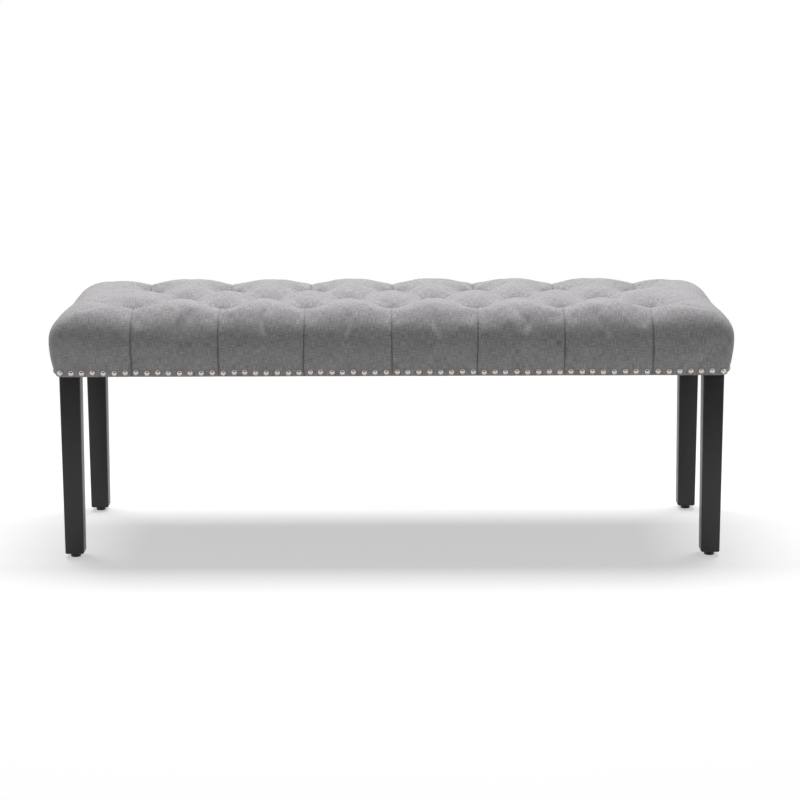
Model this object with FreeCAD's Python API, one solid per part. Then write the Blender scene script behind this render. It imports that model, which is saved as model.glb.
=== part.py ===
import FreeCAD, Part
import math
import os

# Upholstered bench with a diamond-tufted seat on four square tapered legs.
# Millimetres. +Z is up, +X runs along the bench, -Y is the front.
# The origin is on the floor, under the middle of the seat.

# Overall seat
seat_length = 1200.0
seat_depth = 400.0
seat_underside_z = 330.0
seat_thickness = 128.0

# Outline of the cushion's sides and ends
side_draw_in = 10.0
end_draw_in = 11.0
side_height = 78.0
side_top_lean = 2.5
side_belly = 4.0
end_widest_height = 70.0
rim_inset = 50.0
end_round = 85.0
corner_radius = 28.0

# Tufting
outer_row_tufts = 7
middle_row_tufts = 6
tuft_end_margin = 147.0
tuft_row_spacing = 95.0
tuft_depth = 28.0
tuft_floor = 20.0
tuft_bowl_power = 1.8
pleat_depth = 11.0
pleat_floor = 3.0
middle_crest_drop = 3.0
middle_crest_slope = 0.33
rim_pleat_drop = 11.5
side_pleat_depth = 2.0

# Cover, foam and their fit
cover_thickness = 1.5
cover_flange = 20.0
soft_gap = 0.35
foam_skirt_height = 15.0

# Timber frame
rail_thickness = 16.0
rail_height = 50.0
frame_inset = 2.5
frame_corner_radius = 14.0
brace_thickness = 18.0
brace_pitches = 1.25
corner_block_leg = 80.0
corner_block_height = 40.0
deck_thickness = 12.0
wood_gap = 0.2

# Legs
leg_top_width = 36.5
leg_bottom_width = 33.0
leg_edge_chamfer = 1.5
leg_outer_inset_x = 18.0
leg_outer_inset_y = 18.0

# Leg fixing
bolt_diameter = 8.0
bolt_length = 70.0
bolt_depth_in_leg = 38.0
insert_diameter = 12.0
insert_length = 24.0
thread_clearance = 0.1
bolt_hole_gap = 1.0

# Levelling feet
foot_pad_diameter = 18.0
foot_pad_height = 6.0
foot_pad_edge = 1.0
foot_pad_floor = 1.6
foot_standing_height = 7.6
foot_travel = 10.0
stud_diameter = 8.0
stud_length = 34.0
stud_nut_flats = 12.0
stud_nut_sides = 6
foot_insert_diameter = 12.0
foot_insert_length = 16.0
foot_gap = 0.2
stud_hole_gap = 2.0

# Buttons, cords and staples of the tufting
button_diameter = 19.0
button_edge = 3.0
button_dome = 2.5
button_crown = 0.5
button_sides = 8
cord_diameter = 2.5
cord_hole = 6.0
cord_tail = 22.0
cord_staple_place = 0.7

# Nails, screws and staples
nail_head_diameter = 11.0
nail_head_height = 3.2
nail_head_crown = 0.72
nail_shank = 1.6
nail_shank_length = 10.0
nail_pitch = 19.0
nail_row_height = 7.5
nail_corner_inset_x = 10.0
nail_corner_inset_y = 15.0
screw_diameter = 4.0
screw_head_diameter = 8.0
screw_head_height = 2.5
screw_length = 38.0
screw_sink = 2.0
rail_screw_from_end = 11.0
block_screw_places = (0.2, 0.8)
deck_screw_pitches = (-3.0, -1.5, 0.0, 1.5, 3.0)
staple_wire = 1.0
staple_crown = 11.0
staple_leg = 7.0
staple_spacing = 150.0
dust_cover_thickness = 0.6
dust_cover_inset = 12.0
dust_cover_leg_gap = 2.0

# How finely the soft forms and the small hidden pieces are drawn
side_chords = 2
shoulder_chords = 3
crown_chords = 2
middle_chords = 4
end_angles = (24, 44, 70, 84)
small_sides = 8
nail_sides = 6
cord_hole_sides = 6
screw_sides = 6
pad_sides = 20
nail_sink = 0.2
staple_edge = 5.0

# Values that follow from the sizes above
half_length = seat_length / 2
half_depth = seat_depth / 2
seat_crest_z = seat_underside_z + seat_thickness
side_top_z = seat_underside_z + side_height
end_widest_z = seat_underside_z + end_widest_height
foam_skirt_z = seat_underside_z + foam_skirt_height
tuft_pitch = (seat_length - 2 * tuft_end_margin) / (outer_row_tufts - 1)
last_column = tuft_pitch * (outer_row_tufts - 1) / 2
rail_bottom_z = seat_underside_z + cover_thickness + wood_gap
rail_top_z = rail_bottom_z + rail_height
deck_top_z = rail_top_z + deck_thickness
brace_x = brace_pitches * tuft_pitch
frame_half_x = half_length - end_draw_in - frame_inset
frame_half_y = half_depth - side_draw_in - frame_inset
leg_centre_x = half_length - leg_outer_inset_x - leg_top_width / 2
leg_centre_y = half_depth - leg_outer_inset_y - leg_top_width / 2
corners = {
    "front_left": (-1, -1),
    "front_right": (1, -1),
    "back_left": (-1, 1),
    "back_right": (1, 1),
}


def box(x0, x1, y0, y1, z0, z1):
    return Part.makeBox(x1 - x0, y1 - y0, z1 - z0, FreeCAD.Vector(x0, y0, z0))


def save(name, shape):
    shape.exportStep("parts/" + name + ".step")


# How far a place along the bench lies from the nearest outer-row column.
# Half a pitch away it is at a middle-row column.
def from_column(x):
    steps = (abs(x) + last_column) / tuft_pitch
    return 0.0 if abs(x) >= last_column else tuft_pitch * abs(steps - round(steps))


# How far a place lies past the last column, towards the end of the bench
def past_last_column(x):
    return max(0.0, abs(x) - last_column)


# 1 along the seat, falling to 0 on an elliptical rounding at each end
def end_fall(x, inset):
    reach = abs(x) - (half_length - end_round)
    if reach <= 0:
        return 1.0
    return math.sqrt(max(0.0, 1 - (reach / (end_round - inset)) ** 2))


# 1 along the seat, falling to 0 where the end leans out below its widest level
def base_fall(x, inset):
    reach = abs(x) - (half_length - inset - end_draw_in)
    if reach <= 0:
        return 1.0
    return math.sqrt(max(0.0, 1 - (reach / end_draw_in) ** 2))


# Half the seat's depth at its widest level, rounded at the corners
def half_depth_at(x, inset):
    radius = corner_radius - inset
    reach = abs(x) - (half_length - corner_radius)
    if reach <= 0:
        return half_depth - inset
    return half_depth - corner_radius + math.sqrt(max(0.0, radius ** 2 - reach ** 2))


# A share from 0 to 1 of the way from low to high
def share(value, low, high):
    return min(1.0, max(0.0, (value - low) / (high - low)))


# Along the bench, how far a place lies from the nearest button
def from_button(x):
    past = past_last_column(x)
    return past if past > 0 else min(from_column(x), tuft_pitch / 2 - from_column(x))


# Depth of the pleat line below the crest: deepest under a button, shallow between buttons
def pleat_drop(x):
    rise = share(from_button(x), tuft_floor / 2, tuft_pitch / 4)
    return pleat_depth + (tuft_depth - pleat_depth) * (1 - rise) ** tuft_bowl_power


# The pleat line's distance from the middle of the seat and half the width of its floor
def valley_line(x):
    away = share(from_column(x), tuft_floor / 2, (tuft_pitch - tuft_floor) / 2)
    narrowing = share(from_button(x), tuft_floor / 2, tuft_floor)
    floor_half = (tuft_floor + (pleat_floor - tuft_floor) * narrowing) / 2
    valley = tuft_row_spacing * (1 - away)
    if valley < floor_half + pleat_floor:
        return (floor_half + pleat_floor) / 2, floor_half / 2
    return valley, floor_half


# The named points of the front half of a cross-section, as (distance from the middle, height)
def section_points(x, inset):
    end = end_fall(x, inset)
    widest = half_depth_at(x, inset)
    dip = (1 - share(abs(from_seam(x)), 0.0, tuft_pitch / 2)) ** 2
    side_in = side_pleat_depth * dip
    valley, floor_half = valley_line(x)

    def level(height):
        return end_widest_z + (height - inset - end_widest_z) * end

    bottom = end_widest_z - (end_widest_z - seat_underside_z - inset) * base_fall(x, inset)
    side_top = end_widest_z + (side_top_z - end_widest_z) * end
    rim = level(seat_crest_z - rim_pleat_drop * dip)
    floor = level(seat_crest_z - middle_crest_drop - pleat_drop(x))
    highest = level(seat_crest_z - middle_crest_drop)
    swell = middle_crest_slope * max(0.0, valley - floor_half - pleat_floor)
    return {
        "base": (widest - side_draw_in, bottom),
        "side": (widest - side_in, (bottom + side_top) / 2 + side_belly * end),
        "side_top": (widest - side_in - side_top_lean, side_top),
        "rim": (widest + inset - rim_inset, rim),
        "floor_outer": (valley + floor_half, floor),
        "floor_inner": (valley - floor_half, floor),
        "crest": (0.0, min(highest, floor + swell)),
    }


# A point on the arc that leaves the rim level and comes down to the valley
def crown_middle(rim, foot):
    run = rim[0] - foot[0]
    drop = rim[1] - foot[1]
    half_turn = math.atan2(drop, run)
    if abs(half_turn) < 0.001:
        return ((rim[0] + foot[0]) / 2, (rim[1] + foot[1]) / 2)
    radius = math.hypot(run, drop) / (2 * math.sin(half_turn))
    return (rim[0] - radius * math.sin(half_turn), rim[1] - radius * (1 - math.cos(half_turn)))


def shoulder_middle(side_top, rim):
    across = side_top[0] - rim[0]
    up = rim[1] - side_top[1]
    return (side_top[0] - across * (1 - math.sqrt(0.5)), side_top[1] + up * math.sqrt(0.5))


# The front half of one cross-section as arcs and a line: start, middle, end, number of chords
def half_section(x, inset):
    p = section_points(x, inset)
    return [
        (p["base"], p["side"], p["side_top"], side_chords),
        (p["side_top"], shoulder_middle(p["side_top"], p["rim"]), p["rim"], shoulder_chords),
        (p["rim"], crown_middle(p["rim"], p["floor_outer"]), p["floor_outer"], crown_chords),
        (p["floor_outer"], None, p["floor_inner"], 1),
        (p["floor_inner"], p["crest"], None, middle_chords),
    ]


def across(x, point, side):
    return FreeCAD.Vector(x, side * point[0], point[1])


def places_on_arc(a, b, c, pieces):
    if abs((b - a).cross(c - a).Length) < 0.001:
        return [a + (c - a) * (i / pieces) for i in range(pieces + 1)]
    return Part.Arc(a, b, c).toShape().discretize(Number=pieces + 1)


# Corner points of one cross-section, from the front bottom edge over the top to the back one.
# A skirt level cuts the sides off above their bottom edge.
def outline(x, inset, skirt_z=0.0):
    front = []
    for start, middle, end, pieces in half_section(x, inset):
        a = across(x, start, -1)
        if middle is None:
            front += [a]
        elif end is None:
            top = places_on_arc(a, across(x, middle, -1), across(x, start, 1), pieces)
        else:
            front += places_on_arc(a, across(x, middle, -1), across(x, end, -1), pieces)[:-1]
    low, high = front[0], front[1]
    if low.z < skirt_z:
        front[0] = low + (high - low) * ((skirt_z - low.z) / (high.z - low.z))
    back = [FreeCAD.Vector(p.x, -p.y, p.z) for p in reversed(front)]
    return front + top + back


# Places along the bench where a cross-section is drawn
def stations(inset):
    steps = [0.0, tuft_floor / 2, tuft_pitch / 4, tuft_pitch / 2 - tuft_floor / 2]
    columns = [tuft_pitch * (i - (outer_row_tufts - 1) / 2) for i in range(outer_row_tufts)]
    places = {column + side * step for column in columns for step in steps for side in (-1, 1)}
    places = {round(place, 6) for place in places if abs(place) < last_column + 0.001}
    round_start = half_length - end_round
    ends = [last_column + tuft_floor / 2, round_start]
    for angle in end_angles:
        ends.append(round_start + (end_round - inset) * math.sin(math.radians(angle)))
    ends.append(half_length - inset - end_draw_in)
    for place in ends:
        places |= {round(place, 6), round(-place, 6)}
    return sorted(places)


def flat_face(points):
    return Part.Face(Part.makePolygon(points + [points[0]]))


# Distance from the nearest outer-row column, counted as negative past the last one
def from_seam(x):
    return from_column(x) - past_last_column(x)


# Two flat facets for each four neighbouring points of two cross-sections.
# The cut between them follows the run of the diagonal pleats.
def skin(rows):
    facets = []
    for low, high in zip(rows, rows[1:]):
        outwards = from_seam(high[0].x) > from_seam(low[0].x)
        for i in range(len(low) - 1):
            a, b, c, d = low[i], low[i + 1], high[i + 1], high[i]
            front_half = i < (len(low) - 1) / 2
            cuts = [(a, b, d), (b, c, d)] if outwards == front_half else [(a, b, c), (a, c, d)]
            facets += [flat_face(list(cut)) for cut in cuts]
    return facets


# The bottom of the form: flat along the seat, with facets that rise at each end.
# An opening, when given, is left free in the flat part.
def underside(rows, opening=None):
    level = min(row[0].z for row in rows) + 0.001
    flat = [row for row in rows if row[0].z < level]
    rising = [pair for pair in zip(rows, rows[1:]) if max(row[0].z for row in pair) > level]
    edge = [row[0] for row in flat] + [row[-1] for row in reversed(flat)]
    loop = Part.makePolygon(edge + [edge[0]])
    plate = Part.Face([loop, opening]) if opening else Part.Face(loop)
    return [plate] + [flat_face([a[0], a[-1], b[-1], b[0]]) for a, b in rising]


def end_caps(rows):
    return [flat_face(rows[0]), flat_face(rows[-1])]


def closed_solid(faces):
    solid = Part.makeSolid(Part.makeShell(faces))
    if solid.Volume < 0:
        solid.reverse()
    return solid


# The tufted cushion form above a level, drawn in by the inset on every side
def cushion_form(inset, skirt_z):
    rows = [outline(x, inset, skirt_z) for x in stations(inset)]
    return closed_solid(skin(rows) + underside(rows) + end_caps(rows))


def rectangle(half_x, half_y, z):
    points = [(-half_x, -half_y), (half_x, -half_y), (half_x, half_y), (-half_x, half_y)]
    loop = [FreeCAD.Vector(x, y, z) for x, y in points]
    return Part.makePolygon(loop + [loop[0]])


# The fabric: the outer skin, the inner skin, and the stapled flange under the frame
def upholstery_cover():
    outer = [outline(x, 0.0) for x in stations(0.0)]
    inner = [outline(x, cover_thickness) for x in stations(cover_thickness)]
    open_x = half_length - end_draw_in - cover_flange
    open_y = half_depth - side_draw_in - cover_flange
    lower = rectangle(open_x, open_y, seat_underside_z)
    upper = rectangle(open_x, open_y, seat_underside_z + cover_thickness)
    faces = skin(outer) + underside(outer, lower) + end_caps(outer)
    faces += skin(inner) + underside(inner, upper) + end_caps(inner)
    faces += Part.makeLoft([lower, upper], False, True).Faces
    return closed_solid(faces)


# Foam: the tufted form, hollowed to sit over the deck and down the sides of the frame
def foam_pad():
    block = cushion_form(cover_thickness + soft_gap, foam_skirt_z)
    frame = frame_block(rail_bottom_z, deck_top_z + wood_gap, soft_gap)
    height = seat_crest_z - rail_bottom_z
    bore = flat_rod(cord_hole, height, 0, 0, rail_bottom_z, cord_hole_sides)
    return block.cut([frame] + [bore.translated(FreeCAD.Vector(x, y, 0)) for x, y in tuft_places()])


# A block with the plan of the timber frame, its upright corners rounded
def frame_block(low, high, grow):
    x = frame_half_x + grow
    y = frame_half_y + grow
    block = box(-x, x, -y, y, low, high)
    upright = [e for e in block.Edges if abs(e.Vertexes[0].Z - e.Vertexes[1].Z) > 1]
    return block.makeFillet(frame_corner_radius + grow, upright)


def row_places(count, y):
    return [(tuft_pitch * (i - (count - 1) / 2), y) for i in range(count)]


def tuft_rows():
    return {
        "front": row_places(outer_row_tufts, -tuft_row_spacing),
        "middle": row_places(middle_row_tufts, 0.0),
        "back": row_places(outer_row_tufts, tuft_row_spacing),
    }


def tuft_places():
    return [place for row in tuft_rows().values() for place in row]


# Corners of a regular polygon, the section of the small round pieces
def polygon(sides, diameter, z):
    points = []
    for i in range(sides):
        angle = 2 * math.pi * (i + 0.5) / sides
        points.append(FreeCAD.Vector(diameter / 2 * math.cos(angle), diameter / 2 * math.sin(angle), z))
    return points


# A closed solid through a stack of level loops that all have the same number of corners
def stack_loops(loops):
    faces = [flat_face(loops[0]), flat_face(loops[-1])]
    for low, high in zip(loops, loops[1:]):
        for i in range(len(low)):
            j = (i + 1) % len(low)
            faces.append(flat_face([low[i], low[j], high[j], high[i]]))
    return closed_solid(faces)


def stack(sides, levels):
    return stack_loops([polygon(sides, diameter, z) for diameter, z in levels])


# A straight upright bar with flat sides
def flat_rod(diameter, length, x, y, z, sides=small_sides):
    bar = stack(sides, [(diameter, 0.0), (diameter, length)])
    return bar.translated(FreeCAD.Vector(x, y, z))


# A bore with flat sides that clears a round or flat-sided piece of the given diameter
def flat_bore(diameter, length, x, y, z, sides=small_sides):
    return flat_rod(diameter / math.cos(math.pi / sides), length, x, y, z, sides)


# Places a piece made along +Z so that its +Z points outwards along the direction
def placed(shape, position, direction):
    turned = shape.copy()
    turned.Placement = FreeCAD.Placement(
        FreeCAD.Vector(*position), FreeCAD.Rotation(FreeCAD.Vector(0, 0, 1), FreeCAD.Vector(*direction))
    )
    return turned


# Timber frame
def long_rail(side):
    block = frame_block(rail_bottom_z, rail_top_z, 0.0)
    inner = frame_half_y - rail_thickness
    keep = box(-seat_length, seat_length, inner, seat_depth, 0, seat_crest_z)
    if side < 0:
        keep = keep.mirror(FreeCAD.Vector(0, 0, 0), FreeCAD.Vector(0, 1, 0))
    return block.common(keep)


def end_rail(side):
    inner = frame_half_x - rail_thickness
    half = frame_half_y - rail_thickness
    x0, x1 = sorted((side * inner, side * frame_half_x))
    return box(x0, x1, -half, half, rail_bottom_z, rail_top_z)


def cross_brace(side):
    half = frame_half_y - rail_thickness
    x = side * brace_x
    return box(x - brace_thickness / 2, x + brace_thickness / 2, -half, half, rail_bottom_z, rail_top_z)


# A triangular block glued into the corner of the rails, bored for the leg's threaded insert
def corner_block(sx, sy):
    x = sx * (frame_half_x - rail_thickness)
    y = sy * (frame_half_y - rail_thickness)
    points = [(x, y), (x - sx * corner_block_leg, y), (x, y - sy * corner_block_leg)]
    loop = [FreeCAD.Vector(px, py, rail_bottom_z) for px, py in points]
    block = flat_face(loop).extrude(FreeCAD.Vector(0, 0, corner_block_height))
    x = sx * leg_centre_x
    y = sy * leg_centre_y
    bore = flat_rod(insert_diameter, insert_length, x, y, rail_bottom_z)
    above = flat_rod(bolt_diameter + bolt_hole_gap, corner_block_height, x, y, rail_bottom_z)
    return block.cut([bore, above])


def seat_deck():
    deck = frame_block(rail_top_z, deck_top_z, 0.0)
    bore = flat_rod(cord_hole, deck_thickness, 0, 0, rail_top_z, cord_hole_sides)
    return deck.cut([bore.translated(FreeCAD.Vector(x, y, 0)) for x, y in tuft_places()])


# Legs: outer faces upright, inner faces tapering, with narrow chamfers
def leg_section(sx, sy, width, shrink, z):
    outer_x = sx * (half_length - leg_outer_inset_x)
    outer_y = sy * (half_depth - leg_outer_inset_y)
    near = shrink
    far = width - shrink
    c = leg_edge_chamfer
    plan = [
        (near + c, near), (far - c, near), (far, near + c), (far, far - c),
        (far - c, far), (near + c, far), (near, far - c), (near, near + c),
    ]
    return [FreeCAD.Vector(outer_x - sx * a, outer_y - sy * b, z) for a, b in plan]


def leg(sx, sy):
    x = sx * leg_centre_x
    y = sy * leg_centre_y
    foot_x, foot_y = foot_place(sx, sy)
    chamfer = leg_edge_chamfer
    sections = [
        leg_section(sx, sy, leg_bottom_width, chamfer, foot_standing_height),
        leg_section(sx, sy, leg_bottom_width, 0.0, foot_standing_height + chamfer),
        leg_section(sx, sy, leg_top_width, 0.0, seat_underside_z),
    ]
    post = stack_loops(sections)
    pilot = flat_rod(bolt_diameter, bolt_depth_in_leg, x, y, seat_underside_z - bolt_depth_in_leg)
    socket = flat_rod(foot_insert_diameter, foot_insert_length, foot_x, foot_y, foot_standing_height)
    run = flat_rod(stud_diameter + stud_hole_gap, stud_length, foot_x, foot_y, foot_standing_height)
    return post.cut([pilot, socket, run])


def foot_place(sx, sy):
    return (
        sx * (half_length - leg_outer_inset_x - leg_bottom_width / 2),
        sy * (half_depth - leg_outer_inset_y - leg_bottom_width / 2),
    )


def leg_bolt(sx, sy):
    x = sx * leg_centre_x
    y = sy * leg_centre_y
    return flat_rod(bolt_diameter, bolt_length, x, y, seat_underside_z - bolt_depth_in_leg)


def leg_insert(sx, sy):
    x = sx * leg_centre_x
    y = sy * leg_centre_y
    sleeve = flat_rod(insert_diameter, insert_length, x, y, rail_bottom_z)
    return sleeve.cut(flat_rod(bolt_diameter + 2 * thread_clearance, insert_length, x, y, rail_bottom_z))


# Levelling feet: a pad that a threaded stud carries in and out of the leg
def foot_insert(sx, sy):
    x, y = foot_place(sx, sy)
    sleeve = flat_rod(foot_insert_diameter, foot_insert_length, x, y, foot_standing_height)
    return sleeve.cut(flat_bore(stud_diameter, foot_insert_length, x, y, foot_standing_height))


def foot_pad(sx, sy):
    x, y = foot_place(sx, sy)
    narrow = foot_pad_diameter - 2 * foot_pad_edge
    levels = [(narrow, 0.0), (foot_pad_diameter, foot_pad_edge), (foot_pad_diameter, foot_pad_height)]
    pad = stack(pad_sides, levels).translated(FreeCAD.Vector(x, y, 0))
    return pad.cut(flat_bore(stud_diameter, foot_pad_height, x, y, foot_pad_floor))


def foot_stud(sx, sy):
    x, y = foot_place(sx, sy)
    stem = flat_rod(stud_diameter - 2 * thread_clearance, stud_length, x, y, foot_pad_floor + foot_gap)
    nut_low = foot_pad_height + foot_gap
    nut_high = foot_standing_height - foot_gap
    nut = flat_bore(stud_nut_flats, nut_high - nut_low, x, y, nut_low, stud_nut_sides)
    return stem.fuse(nut)


# Covered buttons, pulled down on the floors of the tufts
def button(x, y):
    low = seat_crest_z - middle_crest_drop - tuft_depth
    levels = [(button_diameter, 0.0), (button_diameter, button_edge),
              (button_diameter * button_crown, button_edge + button_dome)]
    return stack(button_sides, levels).translated(FreeCAD.Vector(x, y, low + foot_gap))


# Twine from each button down through foam and deck, its tail laid along the underside
def tuft_cord(x, y):
    top = seat_crest_z - middle_crest_drop - tuft_depth + foot_gap
    side = -1 if y > 0 else 1
    low = rail_top_z - cord_diameter
    half = cord_diameter / 2
    upright = box(x - half, x + half, y - half, y + half, low, top)
    near, far = sorted((y, y + side * cord_tail))
    tail = box(x - half, x + half, near, far, low, rail_top_z)
    return upright.fuse(tail).removeSplitter()


# Domed nails: a low faceted head on a square shank, the head's back on the cover.
# Each is made at the origin with its shank along -Z.
def nail():
    crown = nail_head_diameter * nail_head_crown
    head = stack(nail_sides, [(nail_head_diameter, -nail_sink), (crown, nail_head_height)])
    root = polygon(4, nail_shank * math.sqrt(2), 0.0)
    point = FreeCAD.Vector(0, 0, -nail_shank_length)
    sides = [flat_face([root[i - 1], root[i], point]) for i in range(4)]
    return head.fuse(closed_solid([flat_face(root)] + sides))


# Where the cover's outer face lies at the height of the nail row
def cover_side(x, height):
    start, middle, end, _ = half_section(x, 0.0)[0]
    a, b, c = across(x, start, 1), across(x, middle, 1), across(x, end, 1)
    points = Part.Arc(a, b, c).toShape().discretize(Number=60)
    return min(points, key=lambda p: abs(p.z - height)).y


def cover_end(height):
    fall = (end_widest_z - height) / (end_widest_z - seat_underside_z)
    return half_length - end_draw_in + end_draw_in * math.sqrt(1 - fall ** 2)


# Evenly spaced places from one end of a span to the other, close to the wanted spacing
def evenly(half_span, spacing):
    count = max(1, round(2 * half_span / spacing))
    return [half_span * (2 * i / count - 1) for i in range(count + 1)]


def nail_row(side):
    z = seat_underside_z + nail_row_height
    one = nail()
    if side in ("front", "back"):
        s = -1 if side == "front" else 1
        xs = evenly(half_length - end_draw_in - nail_corner_inset_x, nail_pitch)
        return [placed(one, (x, s * cover_side(x, z), z), (0, s, 0)) for x in xs]
    s = -1 if side == "left" else 1
    ys = evenly(half_depth - side_draw_in - nail_corner_inset_y, nail_pitch)
    return [placed(one, (s * cover_end(z), y, z), (s, 0, 0)) for y in ys]


# Countersunk screws, made at the origin with the head's top at zero and the shank along -Z
def screw():
    thin = screw_diameter
    return stack(screw_sides, [(thin, -screw_length), (thin, -screw_head_height), (screw_head_diameter, 0)])


def rail_screws():
    y = frame_half_y - screw_sink
    x = frame_half_x - rail_screw_from_end
    z = (rail_bottom_z + rail_top_z) / 2
    return [placed(screw(), (sx * x, sy * y, z + dz), (0, sy, 0))
            for sx in (-1, 1) for sy in (-1, 1) for dz in (-rail_height / 4, rail_height / 4)]


def brace_screws():
    y = frame_half_y - screw_sink
    z = (rail_bottom_z + rail_top_z) / 2
    return [placed(screw(), (sx * brace_x, sy * y, z + dz), (0, sy, 0))
            for sx in (-1, 1) for sy in (-1, 1) for dz in (-rail_height / 4, rail_height / 4)]


# Driven through the long face of each corner block, one into each rail
def corner_block_screws():
    found = []
    z = rail_bottom_z + corner_block_height / 2
    for sx, sy in corners.values():
        x = sx * (frame_half_x - rail_thickness)
        y = sy * (frame_half_y - rail_thickness)
        for place in block_screw_places:
            a = corner_block_leg * place
            b = corner_block_leg - a
            found.append(placed(screw(), (x - sx * a, y - sy * b, z), (-sx, -sy, 0)))
    return found


def deck_screws():
    y = frame_half_y - rail_thickness / 2
    x = frame_half_x - rail_thickness / 2
    along = [tuft_pitch * pitches for pitches in deck_screw_pitches]
    places = [(px, sy * y) for px in along for sy in (-1, 1)] + [(-x, 0.0), (x, 0.0)]
    return [placed(screw(), (px, py, deck_top_z), (0, 0, 1)) for px, py in places]


# Staples, made at the origin lying under z = 0 with their legs up
def staple(along_x):
    w = staple_wire
    half = staple_crown / 2
    crown = box(-half, half, -w / 2, w / 2, -w, 0)
    legs = [box(x0, x0 + w, -w / 2, w / 2, 0, staple_leg) for x0 in (-half, half - w)]
    one = crown.fuse(legs).removeSplitter()
    return one if along_x else quarter_turn(one)


def quarter_turn(shape):
    turned = shape.copy()
    turned.rotate(FreeCAD.Vector(0, 0, 0), FreeCAD.Vector(0, 0, 1), 90)
    return turned


# Black lining under the seat, notched round the tops of the legs
def dust_cover_half():
    return half_length - end_draw_in - dust_cover_inset, half_depth - side_draw_in - dust_cover_inset


def dust_cover():
    half_x, half_y = dust_cover_half()
    low = seat_underside_z - dust_cover_thickness
    sheet = box(-half_x, half_x, -half_y, half_y, low, seat_underside_z)
    notch = leg_top_width + leg_outer_inset_x + dust_cover_leg_gap
    notches = []
    for sx, sy in corners.values():
        x0, x1 = sorted((sx * (half_length - notch), sx * seat_length))
        y0, y1 = sorted((sy * (half_depth - notch), sy * seat_depth))
        notches.append(box(x0, x1, y0, y1, low - 1, seat_underside_z + 1))
    return sheet.cut(notches)


def dust_cover_staples():
    half_x, half_y = dust_cover_half()
    z = seat_underside_z - dust_cover_thickness
    row_x = half_x - staple_edge
    row_y = half_y - staple_edge
    along = evenly(leg_centre_x - leg_top_width - staple_crown, staple_spacing)
    found = [staple(True).translated(FreeCAD.Vector(x, s * row_y, z)) for x in along for s in (-1, 1)]
    along = evenly(leg_centre_y - leg_top_width - staple_crown, staple_spacing)
    found += [staple(False).translated(FreeCAD.Vector(s * row_x, y, z)) for y in along for s in (-1, 1)]
    return found


# Staples that hold each cord's tail against the underside of the deck
def tuft_cord_staples():
    found = []
    for x, y in tuft_places():
        side = -1 if y > 0 else 1
        place = FreeCAD.Vector(x, y + side * cord_tail * cord_staple_place, rail_top_z - cord_diameter)
        found.append(staple(True).translated(place))
    return found


def build():
    os.makedirs("parts", exist_ok=True)
    save("front_rail", long_rail(-1))
    save("back_rail", long_rail(1))
    save("left_end_rail", end_rail(-1))
    save("right_end_rail", end_rail(1))
    save("left_cross_brace", cross_brace(-1))
    save("right_cross_brace", cross_brace(1))
    save("seat_deck", seat_deck())
    save("foam_pad", foam_pad())
    save("upholstery_cover", upholstery_cover())
    save("dust_cover", dust_cover())
    for name, places in tuft_rows().items():
        save("tuft_buttons_" + name + "_row", Part.makeCompound([button(x, y) for x, y in places]))
    save("tuft_cords", Part.makeCompound([tuft_cord(x, y) for x, y in tuft_places()]))
    save("tuft_cord_staples", Part.makeCompound(tuft_cord_staples()))
    save("dust_cover_staples", Part.makeCompound(dust_cover_staples()))
    for side in ("front", "back", "left", "right"):
        save("nails_" + side, Part.makeCompound(nail_row(side)))
    save("rail_screws", Part.makeCompound(rail_screws()))
    save("brace_screws", Part.makeCompound(brace_screws()))
    save("corner_block_screws", Part.makeCompound(corner_block_screws()))
    save("deck_screws", Part.makeCompound(deck_screws()))
    for name, (sx, sy) in corners.items():
        save("corner_block_" + name, corner_block(sx, sy))
        save("leg_" + name, leg(sx, sy))
        save("foot_pad_" + name, foot_pad(sx, sy))
        save("foot_stud_" + name, foot_stud(sx, sy))
    save("leg_bolts", Part.makeCompound([leg_bolt(sx, sy) for sx, sy in corners.values()]))
    save("leg_inserts", Part.makeCompound([leg_insert(sx, sy) for sx, sy in corners.values()]))
    save("foot_inserts", Part.makeCompound([foot_insert(sx, sy) for sx, sy in corners.values()]))


build()
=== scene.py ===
import bpy
import math
import random
import numpy as np
from mathutils import Euler, Matrix, Vector
from mathutils.bvhtree import BVHTree


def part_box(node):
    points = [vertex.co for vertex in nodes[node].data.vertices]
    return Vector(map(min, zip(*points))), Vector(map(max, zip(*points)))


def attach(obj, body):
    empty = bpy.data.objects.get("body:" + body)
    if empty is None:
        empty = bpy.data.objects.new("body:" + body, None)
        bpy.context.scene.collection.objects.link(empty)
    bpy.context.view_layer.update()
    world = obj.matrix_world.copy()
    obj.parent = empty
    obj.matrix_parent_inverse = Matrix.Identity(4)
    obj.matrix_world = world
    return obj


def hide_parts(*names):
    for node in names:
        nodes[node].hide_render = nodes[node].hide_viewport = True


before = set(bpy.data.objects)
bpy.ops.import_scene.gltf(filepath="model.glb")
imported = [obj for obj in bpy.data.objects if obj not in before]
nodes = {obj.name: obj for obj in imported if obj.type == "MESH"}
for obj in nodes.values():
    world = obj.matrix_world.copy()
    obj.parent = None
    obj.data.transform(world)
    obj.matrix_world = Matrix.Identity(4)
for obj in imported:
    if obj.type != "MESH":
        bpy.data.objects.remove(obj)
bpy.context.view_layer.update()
scene = bpy.context.scene
print("frame loaded,", len(nodes), "nodes")


def deselectAll():
    for thing in bpy.context.selected_objects:
        thing.select_set(False)


def makeActive(obj):
    deselectAll()
    obj.select_set(True)
    bpy.context.view_layer.objects.active = obj


def editMode(selectMode="VERT"):
    bpy.ops.object.mode_set(mode="EDIT")
    bpy.ops.mesh.select_mode(type=selectMode)


def objectMode():
    bpy.ops.object.mode_set(mode="OBJECT")


def bakePlace(obj):  # the finished piece sits at the origin, its place in its mesh
    makeActive(obj)
    bpy.ops.object.transform_apply(location=True, rotation=True, scale=True)


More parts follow.
